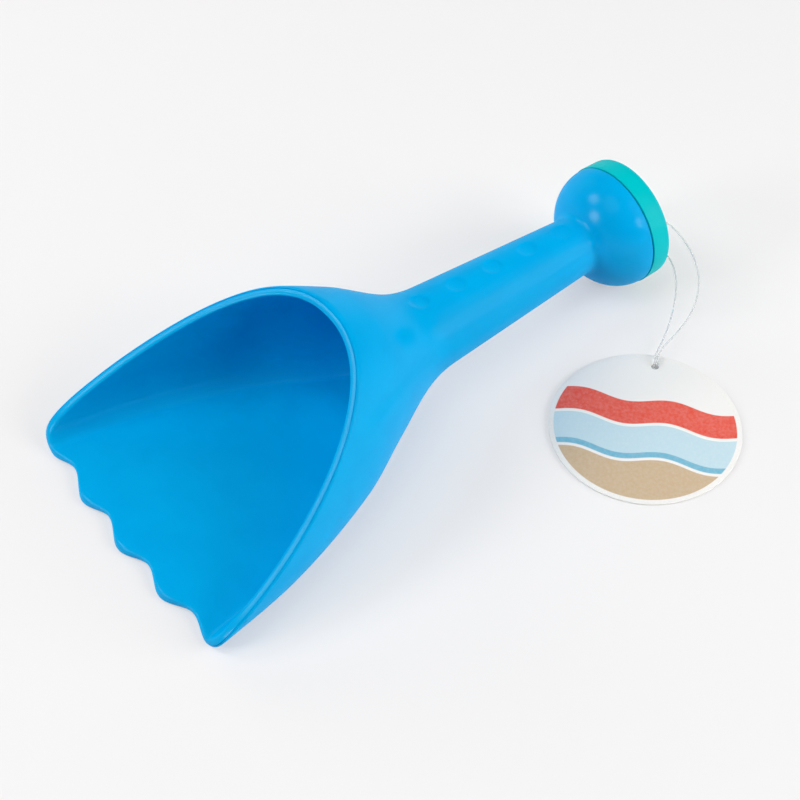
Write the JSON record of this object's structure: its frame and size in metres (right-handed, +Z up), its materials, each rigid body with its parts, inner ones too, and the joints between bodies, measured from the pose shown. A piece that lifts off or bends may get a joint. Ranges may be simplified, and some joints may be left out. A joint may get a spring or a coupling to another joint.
{
  "type": "sand shovel",
  "caption": "Toy sand shovel with an arched scoop, a toothed front edge and a hollow handle that pours water through a push-on sprinkler rose.",
  "frame": {"origin": "on the table, under the middle of the shovel's own box", "axes": "+X from the toothed edge to the rose, +Z up, +Y to the left looking along +X"},
  "size_m": [0.2443, 0.1646, 0.0616],
  "materials": {
    "blue_plastic": "satin moulded plastic, blue",
    "turquoise_plastic": "satin moulded plastic, turquoise",
    "card": "coated printed card",
    "clear_nylon": "clear moulded nylon"
  },
  "bodies": {
    "shovel": {"scoop_body": "blue_plastic"},
    "rose": {"rose_cap": "turquoise_plastic"},
    "tag": {"tag_card": "card", "tag_lock": "clear_nylon", "tag_loop": "clear_nylon"}
  },
  "joints": [
    {"name": "rose_pull_off", "type": "slide", "parent": "shovel", "child": "rose", "axis": [1, 0, 0], "range_m": [0, 0.03]},
    {"name": "tag_swing", "type": "hinge", "parent": "rose", "child": "tag", "pos_m": [0.11637, -0.01386, 0.0245], "axis": [0, 0, 1], "range_deg": [-20, 25]}
  ]
}
